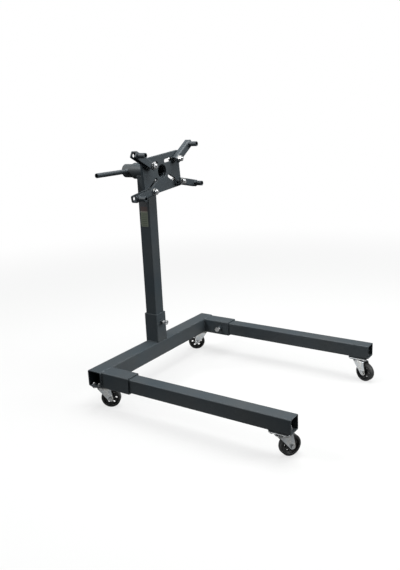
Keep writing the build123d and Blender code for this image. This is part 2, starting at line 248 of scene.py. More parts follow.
def printedVinyl(width, height):
    # Screen printed vinyl, laminated matt: plain blocks of ink with nothing written on them, a
    # fine print grain and slightly lifted, paler rims.
    look = {
        "band": "#3f4144",
        "header": "#4e4341",
        "rule": "#86837b",
        "panel": "#6d7466",
        "row": "#525a4d",
        "rim": "#3a4042",
        "margin": 3,
        "headerShare": 0.38,
        "bandShare": 0.2,
        "ruleShare": 0.03,
        "rowHeight": 7,
        "rowFill": 0.45,
        "inkSize": 2.2,
        "inkDepth": 0.02,
        "roughness": 0.5,
    }
    finish, add, shader, place = newFinish("printedVinyl")
    spot = add("SeparateXYZ", {"Vector": place})
    climb = add("MapRange", {
        "Value": spot.outputs["Y"], "From Min": -height / 2 * mm, "From Max": height / 2 * mm,
    })
    edge = look["margin"] / height
    split = 1 - look["headerShare"]
    bands = add("ValToRGB", {"Fac": climb}, (
        (0, look["rim"]), (edge, look["panel"]), (split - look["ruleShare"], look["rule"]),
        (split, look["header"]), (1 - look["bandShare"], look["band"]), (1 - edge, look["rim"]),
    ))
    bands.color_ramp.interpolation = "CONSTANT"
    rows = add("Math", {0: spot.outputs["Y"], 1: 1 / (look["rowHeight"] * mm)}, operation="MULTIPLY")
    rowPart = add("Math", {0: rows}, operation="FRACT")
    rowMask = add("Math", {0: rowPart, 1: look["rowFill"]}, operation="LESS_THAN")
    away = add("Math", {0: spot.outputs["X"]}, operation="ABSOLUTE")
    for value, limit, side in (
        (climb, split - 2 * look["ruleShare"], "LESS_THAN"),
        (away, (width / 2 - 2 * look["margin"]) * mm, "LESS_THAN"),
        (climb, 2 * edge, "GREATER_THAN"),
    ):
        within = add("Math", {0: value, 1: limit}, operation=side)
        rowMask = add("Math", {0: rowMask, 1: within}, operation="MULTIPLY")
    printed = add("Mix", {"Factor": rowMask, "A": bands, "B": fromHex(look["row"])}, data_type="RGBA")
    atSide = add("Math", {0: away, 1: (width / 2 - look["margin"] / 2) * mm}, operation="GREATER_THAN")
    bordered = add("Mix", {"Factor": atSide, "A": printed, "B": fromHex(look["rim"])}, data_type="RGBA")
    ink = add("TexNoise", {"Vector": place, "Scale": patternScale(look["inkSize"]), "Detail": 3.0})
    inkTone = add("MapRange", {
        "Value": ink, "From Min": 0.3, "From Max": 0.7, "To Min": 0.85, "To Max": 1.15,
    })
    colour = add("Mix", {"Factor": 1.0, "A": bordered, "B": inkTone},
                     data_type="RGBA", blend_type="MULTIPLY")
    gloss = add("MapRange", {
        "Value": ink, "To Min": look["roughness"] - 0.08, "To Max": look["roughness"] + 0.08,
    })
    bump = add("Bump", {"Height": ink, "Distance": look["inkDepth"] * mm, "Strength": 0.4})
    feed(shader, {"Base Color": colour, "Roughness": gloss, "Normal": bump})
    return finish


coat = powderCoatedSteel()
pressing = zincPlatedPressing()
fastener = zincPlatedFastener()
castorPlastic = mouldedPolypropylene()
print("finishes:", len(bpy.data.materials), "made")


# Shaping tools. Shapes are drawn in millimetres and placed in metres.

def fullTurn(steps):
    return [math.tau * i / steps for i in range(steps)]


def around(radius, turn, height=0, shift=(0, 0, 0)):
    return shift[0] + radius * math.cos(turn), shift[1] + radius * math.sin(turn), shift[2] + height


def roundedSquare(width, height, corner, steps=6, along=1):
    # an outline that can be asked for at any inset
    def outline(inset):
        w = width / 2 - inset
        h = height / 2 - inset
        r = max(corner - inset, 0.3)
        points = []
        for x, y, start in ((w - r, h - r, 0), (r - w, h - r, 90), (r - w, r - h, 180), (w - r, r - h, 270)):
            for i in range(steps + 1):
                turn = math.radians(start + 90 * i / steps)
                points.append(Vector((x + r * math.cos(turn), y + r * math.sin(turn))))
        filled = []
        for i, point in enumerate(points):
            after = points[(i + 1) % len(points)]
            cuts = along if (i + 1) % (steps + 1) == 0 else 1
            filled += [point.lerp(after, k / cuts) for k in range(cuts)]
        return filled
    return outline


def roundHole(radius, x=0, y=0, steps=48):
    def outline(inset):
        r = radius - inset
        return [Vector((x + r * math.cos(t), y + r * math.sin(t))) for t in fullTurn(steps)]
    return outline


def longHole(inner, outer, width, turn, x=0, y=0, steps=10):
    # a slot from inner to outer along a line turned this many degrees
    def outline(inset):
        r = width / 2 - inset
        points = []
        for end, start in ((outer, -90), (inner, 90)):
            for i in range(steps + 1):
                a = math.radians(start + 180 * i / steps)
                points.append(Vector((end + r * math.cos(a), r * math.sin(a))))
        spin = Matrix.Rotation(math.radians(turn), 2)
        return [spin @ point + Vector((x, y)) for point in points]
    return outline


def joinRings(bm, rings, closed=False):
    # skins the space between rings; a ring of one vertex closes an end
    pairs = list(zip(rings, rings[1:]))
    if closed:
        pairs.append((rings[-1], rings[0]))
    for near, far in pairs:
        count = max(len(near), len(far))
        for i in range(count):
            j = (i + 1) % count
            corners = (near[i % len(near)], near[j % len(near)], far[j % len(far)], far[i % len(far)])
            bm.faces.new(list(dict.fromkeys(corners)))


def addPlate(bm, outer, holes, low, high, rim=0.6, steps=3):
    # a plate or tube with its rims rounded over, from low to high along Z
    levels = []
    for i in range(steps + 1):
        turn = math.radians(90 * i / steps)
        levels.append((rim * (1 - math.cos(turn)), rim * (1 - math.sin(turn))))
    if high - low > 8 * rim:
        levels.append((3 * rim, 0))
    levels = [(low + rise, inset) for rise, inset in levels] + [
        (high - rise, inset) for rise, inset in reversed(levels)
    ]
    loops = []
    for outline, sign in [(outer, 1)] + [(hole, -1) for hole in holes]:
        rings = [
            [bm.verts.new((p.x, p.y, height)) for p in outline(sign * inset)] for height, inset in levels
        ]
        joinRings(bm, rings)
        loops.append(rings)
    for end in (0, -1):
        verts = [vert for rings in loops for vert in rings[end]]
        outlines = [[vert.co for vert in rings[end]] for rings in loops]
        for corners in tessellate_polygon(outlines):
            bm.faces.new([verts[i] for i in corners])


def softCorners(points, steps=4):
    # rounds each (radius, height, cut) corner of a closed profile
    soft = []
    for i, (x, y, cut) in enumerate(points):
        here = Vector((x, y))
        if cut == 0:
            soft.append(here)
            continue
        before = (Vector(points[i - 1][:2]) - here).normalized() * cut
        after = (Vector(points[(i + 1) % len(points)][:2]) - here).normalized() * cut
        for k in range(steps + 1):
            t = k / steps
            soft.append(here + before * (1 - t) ** 2 + after * t ** 2)
    return soft


def addTurned(bm, profile, steps=64, closed=True, shift=(0, 0, 0)):
    # a turned part round Z from (radius, height) points; radius 0 is a point on the axis
    rings = []
    for radius, height in profile:
        turns = fullTurn(steps) if radius > 0 else [0]
        rings.append([bm.verts.new(around(radius, t, height, shift)) for t in turns])
    joinRings(bm, rings, closed)


def addWasher(bm, radius, bore, low, high, shift=(0, 0, 0)):
    cut = min(0.4, (high - low) / 4)
    profile = softCorners([(bore, low, cut), (radius, low, cut), (radius, high, cut), (bore, high, cut)], 2)
    addTurned(bm, profile, 40, True, shift)


def addHexagon(bm, flats, low, high, bore=0, bothEnds=False, shift=(0, 0, 0), steps=6):
    # a head or nut whose corners are turned off by a 30 degree cone
    cone = 0.47 * flats
    slope = math.tan(math.radians(30))
    turns = fullTurn(6 * steps)
    sixth = math.pi / 3
    reach = [flats / 2 / math.cos((t + sixth / 2) % sixth - sixth / 2) for t in turns]

    def ring(radii, heights):
        return [bm.verts.new(around(r, t, h, shift)) for t, r, h in zip(turns, radii, heights)]

    def level(radius, height):
        return ring([radius] * len(turns), [height] * len(turns))

    drops = [max(0, r - cone) * slope for r in reach]
    rings = [ring(reach, [high - d for d in drops]), level(cone, high)]
    if bothEnds:
        rings = [level(cone, low), ring(reach, [low + d for d in drops])] + rings
    else:
        rings = [ring(reach, [low] * len(turns))] + rings
    if bore:
        rings += [level(bore, high), level(bore, low)]
        joinRings(bm, rings, True)
        return
    caps = [[bm.verts.new((shift[0], shift[1], shift[2] + h))] for h in (low, high)]
    joinRings(bm, [caps[0]] + rings + [caps[1]])


def addThread(bm, radius, low, high, pitch, shift=(0, 0, 0), steps=24):
    # the crest climbs one pitch a turn, and the end at high is chamfered
    depth = 0.55 * pitch
    rows = max(3, round(5 * (high - low) / pitch))
    rings = [[bm.verts.new((shift[0], shift[1], shift[2] + low))]]
    for row in range(rows + 1):
        height = low + (high - low) * row / rows
        ring = []
        for i, turn in enumerate(fullTurn(steps)):
            groove = depth * abs(2 * ((height / pitch - i / steps) % 1) - 1)
            r = radius - max(groove, pitch - (high - height))
            ring.append(bm.verts.new(around(r, turn, height, shift)))
        rings.append(ring)
    rings.append([bm.verts.new((shift[0], shift[1], shift[2] + high))])
    joinRings(bm, rings)


def evenlySpaced(points, gap, closed=True):
    # walks a line of points in equal steps
    line = [Vector(p).to_3d() for p in points]
    if closed:
        line.append(line[0])
    lengths = [(b - a).length for a, b in zip(line, line[1:])]
    total = sum(lengths)
    count = max(3, round(total / gap))
    walked = []
    leg = 0
    passed = 0.0
    for i in range(count if closed else count + 1):
        target = min(total * i / count, total - 1e-6)
        while passed + lengths[leg] < target:
            passed += lengths[leg]
            leg += 1
        walked.append(line[leg].lerp(line[leg + 1], (target - passed) / lengths[leg]))
    return walked


weld = {"ripple": 3.0, "rippleDepth": 0.16, "sides": 8, "unevenness": 0.05}


def addWeld(bm, path, size, up, closed=True):
    # a hand-laid bead along a path, scalloped where each drop froze
    gap = weld["ripple"] / 4
    points = evenlySpaced(path, gap, closed)
    last = len(points) - 1
    rings = []
    for i, point in enumerate(points):
        before = points[i - 1] if closed or i > 0 else point
        after = points[(i + 1) % len(points)] if closed or i < last else point
        ahead = (after - before).normalized()
        side = ahead.cross(Vector(up)).normalized()
        lift = side.cross(ahead)
        scallop = 1 - weld["rippleDepth"] * abs(math.cos(math.pi * i * gap / weld["ripple"]))
        swell = size * scallop * unevenHand.uniform(1 - weld["unevenness"], 1)
        rings.append([
            bm.verts.new(point + side * math.cos(t) * swell + lift * math.sin(t) * swell)
            for t in fullTurn(weld["sides"])
        ])
    if not closed:
        rings = [[bm.verts.new(points[0])]] + rings + [[bm.verts.new(points[-1])]]
    joinRings(bm, rings, closed)


def asMesh(name, bm):
    mesh = bpy.data.meshes.new(name)
    bm.to_mesh(mesh)
    bm.free()
    return mesh


def asObject(name, data):
    holder = bpy.data.objects.new(name, data)
    bpy.context.scene.collection.objects.link(holder)
    return holder


def merge(whole, part, move):
    # adds a moved shape to another
    bmesh.ops.transform(part, matrix=move, verts=part.verts)
    mesh = asMesh("merged", part)
    whole.from_mesh(mesh)
    bpy.data.meshes.remove(mesh)


def throughModifiers(bm, *recipes):
    # runs a rough shape through modifiers and gives the finished shape back
    rough = asObject("roughShape", asMesh("roughShape", bm))
    for kind, settings in recipes:
        modifier = rough.modifiers.new(kind, kind)
        for key, value in settings.items():
            setattr(modifier, key, value)
    shaped = bmesh.new()
    shaped.from_object(rough, bpy.context.evaluated_depsgraph_get())
    bpy.data.objects.remove(rough)
    return shaped


def thickened(bm, rows, sheet, rim):
    # skins a grid of vertices, then gives it a sheet's thickness and rounded rims
    for row, following in zip(rows, rows[1:]):
        for k in range(len(row) - 1):
            bm.faces.new((row[k], row[k + 1], following[k + 1], following[k]))
    bmesh.ops.recalc_face_normals(bm, faces=bm.faces)
    return throughModifiers(
        bm,
        ("SOLIDIFY", {"thickness": sheet, "offset": 0, "use_even_offset": True}),
        ("BEVEL", {"width": rim, "segments": 3, "limit_method": "ANGLE", "angle_limit": math.radians(50)}),
    )


def drillWith(bm, radius, spots, low, high):
    # cuts round holes along Z through a shape
    drill = bmesh.new()
    for x, y in spots:
        addTurned(drill, [(0, low), (radius, low), (radius, high), (0, high)], 32, False, (x, y, 0))
    bmesh.ops.recalc_face_normals(drill, faces=drill.faces)
    tool = asObject("drill", asMesh("drill", drill))
    bmesh.ops.recalc_face_normals(bm, faces=bm.faces)
    cut = {"operation": "DIFFERENCE", "object": tool, "solver": "EXACT"}
    drilled = throughModifiers(bm, ("BOOLEAN", cut))
    bpy.data.objects.remove(tool)
    return drilled


def makePiece(node, bm, place, finish, body):
    # marks the rims that get rubbed, shades the piece, places it and lets it ride
    bmesh.ops.remove_doubles(bm, verts=bm.verts, dist=0.002)
    bmesh.ops.recalc_face_normals(bm, faces=bm.faces)
    rubbed = bm.verts.layers.float.new("rubbed")
    for vert in bm.verts:
        steepest = math.degrees(max((edge.calc_face_angle(0) for edge in vert.link_edges), default=0))
        vert[rubbed] = 1.0 if 20 < steepest < 60 else 0.0
    bmesh.ops.scale(bm, vec=(mm, mm, mm), verts=bm.verts)
    first, *rest = node.split("_")
    name = first + "".join(word.capitalize() for word in rest)
    mesh = asMesh(name, bm)
    mesh.materials.append(finish)
    mesh.shade_smooth()
    mesh.set_sharp_from_angle(angle=math.radians(42))
    piece = asObject(name, mesh)
    piece.matrix_world = place
    shading = piece.modifiers.new("evenShading", "WEIGHTED_NORMAL")
    shading.keep_sharp = True
    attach(piece, body)
    if node in paintedAs:
        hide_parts(node)


def axes(origin, x, y):
    # a placing matrix from an origin and two of its directions
    x = Vector(x).normalized()
    y = Vector(y).normalized()
    z = x.cross(y)
    turn = Matrix((x, y, z)).transposed().to_4x4()
    return Matrix.Translation(origin) @ turn


def boxSize(node):
    low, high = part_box(node)
    return low, high, (low + high) / 2, (high - low) / mm


# Base

beam = {"wall": 4, "corner": 5, "rim": 0.7}
socket = {"wall": 4.5, "corner": 5, "rim": 0.8}
tube = {"wall": 3, "corner": 4, "rim": 0.6}


def squareTube(width, length, shape, rim, along=1):
    bm = bmesh.new()
    bore = width - 2 * shape["wall"]
    addPlate(
        bm,
        roundedSquare(width, width, shape["corner"], along=along),
        [roundedSquare(bore, bore, shape["corner"] - shape["wall"], along=along)],
        0, length, rim,
    )
    return bm


low, high, beamMiddle, beamSize = boxSize("crossbar")
beamFront = low.y
beamTop = high.z
place = axes((low.x, beamMiddle.y, beamMiddle.z), (0, 1, 0), (0, 0, 1))
makePiece("crossbar", squareTube(beamSize.z, beamSize.x, beam, beam["rim"]), place, coat, "stand")

for hand in ("left", "right"):
    for node, shape in ((f"leg_socket_{hand}", socket), (f"leg_{hand}", tube)):
        low, high, middle, size = boxSize(node)
        place = axes((middle.x, high.y, middle.z), (1, 0, 0), (0, 0, 1))
        bm = squareTube(size.z, size.y, shape, shape["rim"])
        makePiece(node, bm, place, coat, "stand")

low, high, middle, size = boxSize("mast_socket")
socketWidth = size.x
place = Matrix.Translation((middle.x, middle.y, low.z))
bm = squareTube(socketWidth, size.z, socket, socket["rim"])
makePiece("mast_socket", bm, place, coat, "stand")

# The mast's top is cut to sit round the housing that is welded across it.
mast = {"rim": 0.4, "steps": 16, "sink": 0.5}
headAxle = Vector(joints["head_turn"]["pos_m"])
housingLow, housingHigh, _, housingSize = boxSize("head_housing")
housingRadius = housingSize.x / 2
low, high, middle, size = boxSize("mast")
mastWidth = size.x
mastLength = (headAxle.z - low.z) / mm
bm = squareTube(mastWidth, mastLength, tube, mast["rim"], mast["steps"])
for vert in bm.verts:
    if vert.co.z > mastLength / 2:
        vert.co.z -= math.sqrt(housingRadius ** 2 - vert.co.x ** 2) - mast["sink"]
makePiece("mast", bm, Matrix.Translation((middle.x, middle.y, low.z)), coat, "stand")
print("base: crossbar, sockets, legs and mast")

# Weld beads of the base. A bead fills the groove over the crossbar's rounded corner, and a
# fillet runs up each side.
beads = {"fillet": 2.4, "groove": 2.5, "grooveIn": 2.2, "grooveDown": 2.5, "saddle": 2.2, "nut": 1.3}


def weldSocketOn(bm, centre, outward):
    # outward points up the socket, from the crossbar
    along = Vector((1, 0, 0))
    outward = Vector(outward)
    across = along.cross(outward)
    half = socketWidth / 2
    for sign in (-1, 1):
        corner = centre + along * sign * (half + 0.3) + outward * 0.3
        ends = [corner - across * (half - 6), corner + across * (half - 6)]
        addWeld(bm, ends, beads["fillet"], outward, False)
        line = centre + across * sign * (half - beads["grooveIn"]) - outward * beads["grooveDown"]
        addWeld(bm, [line - along * (half - 2), line + along * (half - 2)], beads["groove"], outward, False)


bm = bmesh.new()
weldSocketOn(bm, Vector((beamMiddle.x, beamMiddle.y, beamTop)) / mm, (0, 0, 1))
for hand in ("left", "right"):
    middle = boxSize(f"leg_socket_{hand}")[2]
    weldSocketOn(bm, Vector((middle.x, beamFront, middle.z)) / mm, (0, -1, 0))
saddle = []
for point in roundedSquare(mastWidth, mastWidth, tube["corner"], along=mast["steps"])(0):
    drop = math.sqrt(housingRadius ** 2 - point.x ** 2)
    saddle.append(Vector((point.x, beamMiddle.y / mm + point.y, headAxle.z / mm - drop - 0.6)))
addWeld(bm, saddle, beads["saddle"], (0, 0, 1))
makePiece("frame_welds", bm, Matrix.Identity(4), coat, "stand")
print("welds: frame")


# Clamp bolts

clamp = {
    "flats": 17, "nutHeight": 8, "standOff": 12, "headHeight": 7, "shank": 5, "pitch": 1.5, "tip": 5,
    "threadDepth": 0.4,
}


def splitBoxes(node):
    # the boxes of a node's separate solids, which lie well apart
    groups = []
    for vert in frame["nodes"][node].data.vertices:
        near = [group for group in groups if (group[0] - vert.co).length < 50 * mm]
        if near:
            near[0].append(vert.co)
        else:
            groups.append([vert.co])
    corners = [[[pick(p[i] for p in group) for i in range(3)] for pick in (min, max)] for group in groups]
    return [(Vector(low), Vector(high)) for low, high in corners]


def clampPlaces():
    # where each clamp bolt enters, with Z pointing out of the socket's face
    places = []
    for low, high in splitBoxes("clamp_nuts"):
        centre = (low + high) / 2
        if centre.x < -0.1:
            places.append(axes((low.x, centre.y, centre.z), (0, 1, 0), (0, 0, 1)))
        elif centre.x > 0.1:
            places.append(axes((high.x, centre.y, centre.z), (0, 0, 1), (0, 1, 0)))
        else:
            places.append(axes((centre.x, high.y, centre.z), (1, 0, 0), (0, 0, 1)))
    return places


nuts = bmesh.new()
bolts = bmesh.new()
nutWelds = bmesh.new()
neck = clamp["nutHeight"] + clamp["standOff"]
for place in clampPlaces():
    inPlace = Matrix.Scale(1 / mm, 4) @ place @ Matrix.Scale(mm, 4)
    part = bmesh.new()
    addHexagon(part, clamp["flats"], 0, clamp["nutHeight"], clamp["shank"] - clamp["threadDepth"])
    merge(nuts, part, inPlace)
    part = bmesh.new()
    addThread(part, clamp["shank"], -clamp["tip"], neck + 0.5, clamp["pitch"])
    addHexagon(part, clamp["flats"], neck, neck + clamp["headHeight"])
    merge(bolts, part, inPlace)
    part = bmesh.new()
    addWeld(part, roundHole(clamp["flats"] / 2 + 0.4)(0), beads["nut"], (0, 0, 1))
    merge(nutWelds, part, inPlace)
makePiece("clamp_nuts", nuts, Matrix.Identity(4), coat, "stand")
makePiece("clamp_bolts", bolts, Matrix.Identity(4), fastener, "stand")
makePiece("clamp_nut_welds", nutWelds, Matrix.Identity(4), coat, "stand")

low, high, middle, size = boxSize("mast_label")
label = {"corner": 2, "rim": 0.12}
bm = bmesh.new()
addPlate(bm, roundedSquare(size.y, size.z, label["corner"]), [], 0, size.x, label["rim"], 2)
place = axes((high.x, middle.y, middle.z), (0, -1, 0), (0, 0, 1))
makePiece("mast_label", bm, place, printedVinyl(size.y, size.z), "stand")
print("clamp bolts and label")


# Head

slideAxis = Vector(joints["upper_right_slot_slide"]["axis"])
headTurn = math.atan2(slideAxis.z, slideAxis.x)


def facing(origin, turn):
    # seen from the front: X to the right, turned, and Z towards the viewer
    x = Vector((math.cos(turn), 0, math.sin(turn)))
    y = Vector((-math.sin(turn), 0, math.cos(turn)))
    return axes(origin, x, y)


def ahead(y):
    # millimetres in front of the crossbar's centre line
    return (headAxle.y - y) / mm


onHead = facing(headAxle, headTurn)
spindleLow, spindleHigh, _, spindleSize = boxSize("spindle")
plateLow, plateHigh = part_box("face_plate")
collarLow, collarHigh, _, collarSize = boxSize("thrust_collar")
handleLow, _, handleMiddle, handleSize = boxSize("handle_bar")
spindle = {"wall": 3, "rim": 0.8}
spindleRadius = spindleSize.x / 2
plateFront = ahead(plateLow.y)
plateBack = ahead(plateHigh.y)

def roundTube(outer, inner, near, far, rim, steps=72):
    bm = bmesh.new()
    addPlate(bm, roundHole(outer, steps=steps), [roundHole(inner, steps=steps)], near, far, rim)
    return bm


bm = roundTube(housingRadius, spindleRadius + 0.4, ahead(housingHigh.y), ahead(housingLow.y), 1.2)
makePiece("head_housing", bm, onHead, coat, "stand")

bm = roundTube(spindleRadius, spindleRadius - spindle["wall"], ahead(spindleHigh.y), ahead(spindleLow.y),
               spindle["rim"])
makePiece("spindle", bm, onHead, coat, "head")

bm = roundTube(collarSize.x / 2, spindleRadius - 0.3, ahead(collarHigh.y), ahead(collarLow.y), 0.8)
makePiece("thrust_collar", bm, onHead, coat, "head")

plate = {
    "width": 220, "above": 60, "below": 73, "corner": 4, "rim": 0.9, "slotWidth": 14,
    "upperSlot": (26, 88), "upperSlotHeight": 33, "lowerSlot": (46, 107), "lowerSlotTurn": 32,
}
bm = bmesh.new()
slots = []
for sign in (-1, 1):
    inner, outer = sorted(sign * reach for reach in plate["upperSlot"])
    slots.append(longHole(inner, outer, plate["slotWidth"], 0, 0, plate["upperSlotHeight"]))
    slope = -plate["lowerSlotTurn"] if sign > 0 else 180 + plate["lowerSlotTurn"]
    slots.append(longHole(*plate["lowerSlot"], plate["slotWidth"], slope))
middleUp = (plate["above"] - plate["below"]) / 2
edgeOfPlate = roundedSquare(plate["width"], plate["above"] + plate["below"], plate["corner"])
addPlate(
    bm,
    lambda inset: [point + Vector((0, middleUp)) for point in edgeOfPlate(inset)],
    [roundHole(spindleRadius, steps=72)] + slots,
    plateBack, plateFront, plate["rim"],
)
makePiece("face_plate", bm, onHead, coat, "head")

handle = {"wall": 2.3, "rim": 0.9}
handleRadius = handleSize.z / 2
bm = roundTube(handleRadius, handleRadius - handle["wall"], 0, handleSize.x, handle["rim"], 40)
place = axes((handleLow.x, handleMiddle.y, handleMiddle.z), (0, 1, 0), (0, 0, 1))
makePiece("handle_bar", bm, place, coat, "head")

# The collar is stitched in degrees round the spindle, clear of the upper bolts' heads.
headBeads = {"collar": 2.2, "handle": 1.7, "stitches": ((152, 388), (72, 108))}
bm = bmesh.new()
ring = [p.to_3d() + Vector((0, 0, plateBack - 0.6)) for p in roundHole(collarSize.x / 2 + 0.4, steps=90)(0)]
for first, last in headBeads["stitches"]:
    stitch = [ring[i % 90] for i in range(first // 4, last // 4 + 1)]
    addWeld(bm, stitch, headBeads["collar"], (0, 0, 1), False)
makePiece("collar_weld", bm, onHead, coat, "head")
bm = bmesh.new()
for sign in (-1, 1):
    ring = []
    for point in roundHole(handleRadius + 0.2, steps=40)(0):
        ring.append(Vector((sign * math.sqrt(spindleRadius ** 2 - point.y ** 2), point.x, point.y)))
    addWeld(bm, ring, headBeads["handle"], (1, 0, 0))
place = Matrix.Translation((headAxle.x, handleMiddle.y, handleMiddle.z))
makePiece("handle_welds", bm, place, coat, "head")
print("head: housing, spindle, plate and handle")


# Arms

arm = {
    "width": 25, "depth": 25, "sheet": 4, "corner": 4, "heel": 15, "toe": 13, "gap": 0.1, "bend": 3.5,
    "rim": 0.7, "bushing": 9, "bushingRim": 0.7, "bushingWeld": 1.8, "backHole": 6.5,
}
armBolt = {
    "shank": 6, "flats": 19, "head": 7.5, "nut": 10, "tail": 4.5, "pitch": 1.75, "washer": 12,
    "washerHeight": 2.5,
}


def foldedArm(reach, webSide):
    # one strip of sheet folded into a channel: front flange, web, back flange
    half = arm["width"] / 2
    sheet = arm["sheet"]
    bend = arm["bend"]
    frontZ = arm["gap"] + arm["depth"] - sheet / 2
    backZ = arm["gap"] + sheet / 2
    webY = half - sheet / 2
    corner = arm["corner"]
    freeEdge = [-half + corner * (1 - math.cos(math.radians(15 * i))) for i in range(7)]
    section = [(y, frontZ) for y in freeEdge]
    for centre, start in ((frontZ - bend, 90), (backZ + bend, 0)):
        turns = [math.radians(start - 15 * i) for i in range(7)]
        section += [(webY - bend + bend * math.cos(a), centre + bend * math.sin(a)) for a in turns]
    section += [(y, backZ) for y in reversed(freeEdge)]
    bm = bmesh.new()
    rows = []
    # close together at the ends, to keep the wear there
    stations = (0, 0.02, 0.1, 0.3, 0.5, 0.7, 0.85, 0.98, 1)
    for y, z in section:
        near = min(y + half, webY - y, corner)  # the ends are rounded at both long edges
        cut = corner - math.sqrt(corner ** 2 - (corner - near) ** 2)
        start = -arm["heel"] + cut
        stop = reach + arm["toe"] - cut
        rows.append([bm.verts.new((start + (stop - start) * k, y * webSide, z)) for k in stations])
    folded = thickened(bm, rows, sheet, arm["rim"])
    drilled = drillWith(folded, arm["backHole"], [(reach, 0)], -5, arm["depth"] / 2)
    return drillWith(drilled, arm["bushing"] - 0.6, [(reach, 0)], arm["depth"] / 2, arm["depth"] + 5)


for corner in ("upper_left", "upper_right", "lower_left", "lower_right"):
    pivot = Vector(joints[f"{corner}_arm_swing"]["pos_m"])
    pivot.y = plateLow.y
    eye = Vector(bores[f"bushing_{corner}"]["pos_m"])
    boreRadius = bores[f"bushing_{corner}"]["dims"]["r_mm"]
    line = eye - pivot
    turn = math.atan2(line.z, line.x)
    reach = math.hypot(line.x, line.z) / mm
    outer = 1 if corner.startswith("upper") else -1  # the web is on the side away from the spindle
    webSide = outer * (1 if math.cos(turn) > 0 else -1)
    onPivot = facing(pivot, turn)
    armBody = f"arm_{corner}"
    boltBody = f"arm_bolt_{corner}"
    makePiece(f"arm_{corner}", foldedArm(reach, webSide), onPivot, coat, armBody)

    # The bushing stands on the front flange, in line with the hole in the back one.
    bushingLow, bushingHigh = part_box(f"bushing_{corner}")
    bm = roundTube(arm["bushing"], boreRadius, (pivot.y - bushingHigh.y) / mm,
                   (pivot.y - bushingLow.y) / mm, arm["bushingRim"], 48)
    onEye = facing(Vector((eye.x, pivot.y, eye.z)), turn)
    makePiece(f"bushing_{corner}", bm, onEye, coat, armBody)

    bm = bmesh.new()
    ring = [p.to_3d() + Vector((0, 0, arm["gap"] + arm["depth"])) for p in roundHole(arm["bushing"] + 0.3)(0)]
    addWeld(bm, ring, arm["bushingWeld"], (0, 0, 1))
    makePiece(f"bushing_weld_{corner}", bm, onEye, coat, armBody)

    # The bolt comes from behind the plate, and its nut sits in front of the arm.
    nutStart = 2 * arm["gap"] + arm["depth"] + armBolt["washerHeight"]
    headStart = -(plateFront - plateBack) - arm["gap"] - armBolt["washerHeight"]
    tip = nutStart + armBolt["nut"] + armBolt["tail"]
    bm = bmesh.new()
    addHexagon(bm, armBolt["flats"], -headStart, armBolt["head"] - headStart)
    bmesh.ops.scale(bm, vec=(1, 1, -1), verts=bm.verts)
    addWasher(bm, armBolt["washer"], armBolt["shank"], headStart, headStart + armBolt["washerHeight"])
    shank = armBolt["shank"]
    addTurned(bm, [(0, headStart), (shank, headStart), (shank, nutStart), (0, nutStart)], 32, False)
    addThread(bm, shank, nutStart - 1, tip, armBolt["pitch"])
    makePiece(f"arm_bolt_{corner}", bm, onPivot, fastener, boltBody)

    bm = bmesh.new()
    addWasher(bm, armBolt["washer"], armBolt["shank"] + 0.3, nutStart - armBolt["washerHeight"], nutStart)
    addHexagon(bm, armBolt["flats"], nutStart, nutStart + armBolt["nut"], armBolt["shank"], True)
    makePiece(f"arm_nut_{corner}", bm, onPivot, fastener, boltBody)
print("arms: four channels with bushings and bolts")


# Castors

castor = {
    "plateCorner": 6, "plateThickness": 3, "plateRim": 0.5, "boltAlong": 50, "boltAcross": 25,
    "raceRadius": 18, "cupDepth": 3.4, "balls": 18, "ballRadius": 1.5, "ballCircle": 14.8,
    "pinRadius": 5, "pinHead": 9,
}
fork = {
    "sheet": 2.5, "inside": 28, "rootAhead": 17, "rootBehind": 32, "crown": 21, "boss": 10, "bend": 5,
    "rim": 0.5, "dish": 0.7, "columns": 8,
}
wheel = {
    "width": 22, "shoulder": 4, "rim": 26, "web": 8, "hub": 11, "hubWidth": 26, "holes": 6, "holeRadius": 4.6,
}
axle = {
    "radius": 4, "flats": 13, "head": 4.2, "washer": 8, "washerHeight": 1.1, "nut": 6.5, "tail": 2.5,
    "pitch": 1.25,
}
castorBolt = {
    "shank": 4, "flats": 13, "head": 5.3, "nut": 5.1, "washer": 8, "washerHeight": 1.4, "tail": 2.5,
    "pitch": 1.25,
}
upsideDown = Matrix.Diagonal((1, 1, -1, 1))


